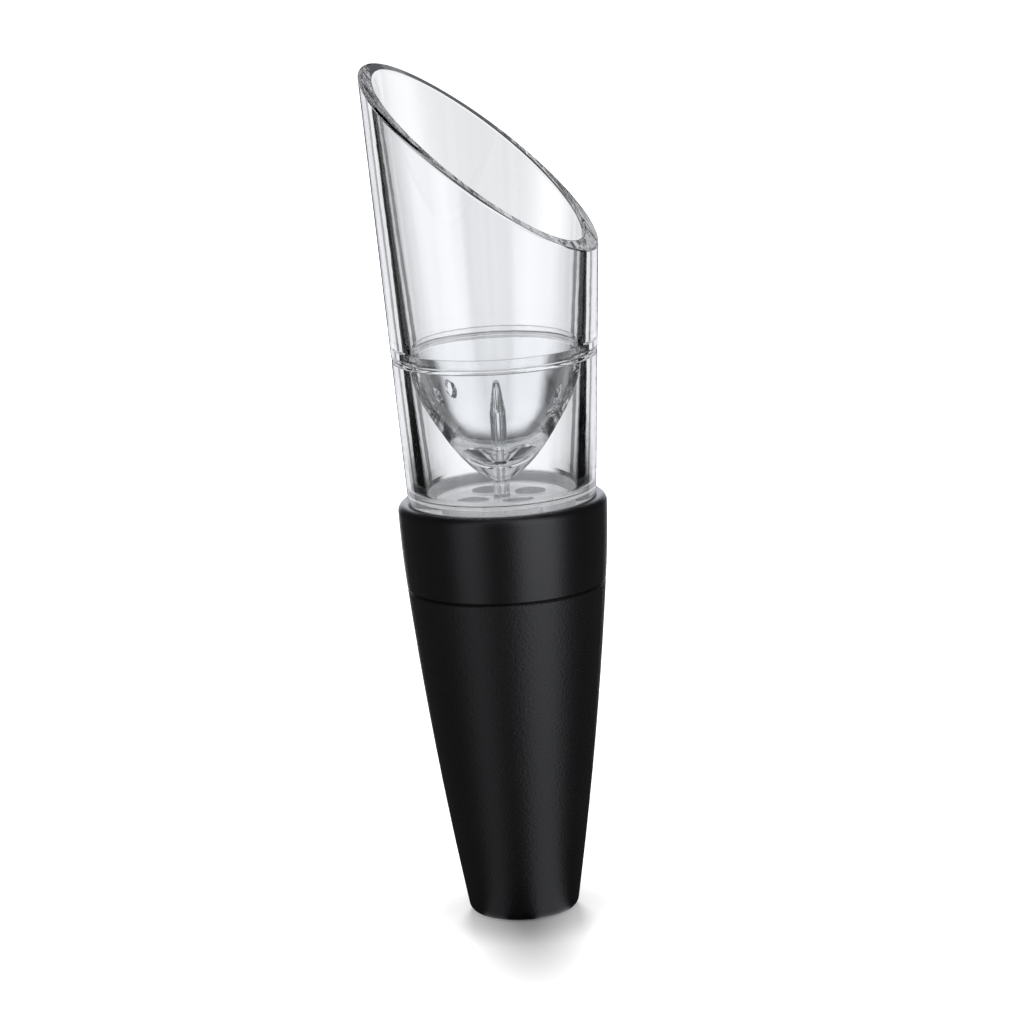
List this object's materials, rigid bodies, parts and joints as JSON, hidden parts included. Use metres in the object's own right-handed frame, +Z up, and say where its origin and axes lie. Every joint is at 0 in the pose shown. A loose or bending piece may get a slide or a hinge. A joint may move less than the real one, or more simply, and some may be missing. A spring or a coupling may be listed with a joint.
{
  "type": "wine aerator pourer",
  "caption": "Bottle-top wine aerator: clear slant-cut spout over a clear chamber with an inner bowl and stem, on a black collar and a soft tapered stopper.",
  "frame": {"origin": "on the axis, in the plane of the foot, at the mouth of the wine inlet", "axes": "+Z up along the axis from the foot to the spout; the pouring tip, the mouth's high side, points along -X and its low side along +X"},
  "size_m": [0.0309, 0.031, 0.1176],
  "materials": {
    "soft_black": "soft-touch satin with a very fine grain",
    "hard_black": "fine satin moulding",
    "seal_rubber": "matt silicone",
    "clear_acrylic": "clear polished acrylic"
  },
  "bodies": {
    "root": {"stopper": "soft_black", "collar": "hard_black", "chamber_seal": "seal_rubber", "mixing_chamber": "clear_acrylic", "aeration_bowl": "clear_acrylic", "pouring_spout": "clear_acrylic"}
  },
  "joints": []
}
